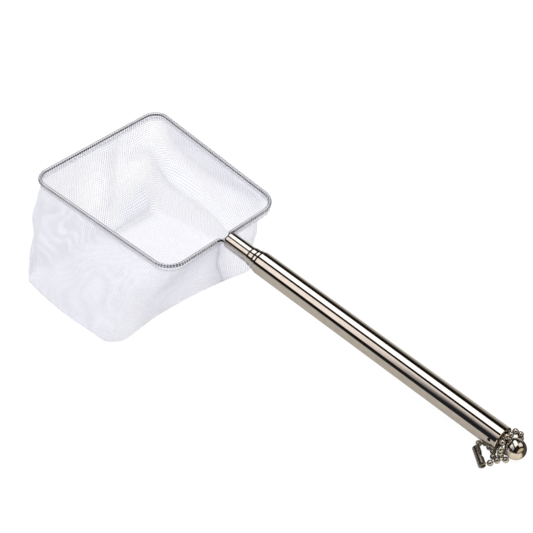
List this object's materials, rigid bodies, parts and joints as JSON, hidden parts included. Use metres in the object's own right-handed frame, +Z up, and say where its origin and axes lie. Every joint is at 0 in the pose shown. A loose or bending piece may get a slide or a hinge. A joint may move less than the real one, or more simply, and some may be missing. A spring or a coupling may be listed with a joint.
{
  "type": "leaf skimmer net",
  "caption": "Hand skimmer net: a wire hoop with a fine mesh bag on a telescopic steel tube handle that ends in a ball knob with a bead chain loop.",
  "frame": {"origin": "on the surface that the net stands on, straight under the middle of the hoop, on the bag's flat underside", "axes": "+X runs along the handle towards the ball, +Z is up, +Y completes a right-handed frame"},
  "size_m": [0.2549, 0.0911, 0.0567],
  "materials": {
    "polished_steel": "warm bright polish",
    "dark_steel": "dull dark grey",
    "wire_steel": "drawn wire",
    "chain_steel": "bright polish",
    "spring_bronze": "rolled strip",
    "black_plastic": "moulded",
    "mesh_cloth": "fine open net",
    "hem_cloth": "folded net, several plies",
    "thread": "twisted thread"
  },
  "bodies": {
    "grip": {"grip_tube": "polished_steel", "butt_plug": "polished_steel", "plug_pin": "dark_steel", "butt_cap": "polished_steel", "neck_stud": "polished_steel", "ball_knob": "polished_steel"},
    "second_section": {"second_tube": "polished_steel", "second_spring_sleeve": "spring_bronze"},
    "third_section": {"third_tube": "polished_steel", "third_spring_sleeve": "spring_bronze"},
    "front_slider": {"front_spring_sleeve": "spring_bronze"},
    "net_head": {"front_tube": "polished_steel", "leg_plug": "black_plastic", "hoop_wire": "wire_steel", "hem_band": "hem_cloth", "hem_stitching": "thread", "net_bag": "mesh_cloth", "closing_seam": "hem_cloth"},
    "chain": {"chain_beads": "chain_steel", "chain_links": "chain_steel", "chain_clasp": "dark_steel"}
  },
  "joints": [
    {"name": "second_slide", "type": "slide", "parent": "grip", "child": "second_section", "axis": [-0.9781, 0, 0.2079], "range_m": [0, 0.103]},
    {"name": "third_slide", "type": "slide", "parent": "second_section", "child": "third_section", "axis": [-0.9781, 0, 0.2079], "range_m": [0, 0.1045]},
    {"name": "front_slide", "type": "slide", "parent": "third_section", "child": "front_slider", "axis": [-0.9781, 0, 0.2079], "range_m": [0, 0.107]},
    {"name": "head_turn", "type": "hinge", "parent": "front_slider", "child": "net_head", "pos_m": [0.17215, 0, 0.00986], "axis": [0.9781, 0, -0.2079], "continuous": true},
    {"name": "chain_turn", "type": "hinge", "parent": "grip", "child": "chain", "pos_m": [0.19025, 0, 0.00601], "axis": [0.9781, 0, -0.2079], "continuous": true}
  ]
}
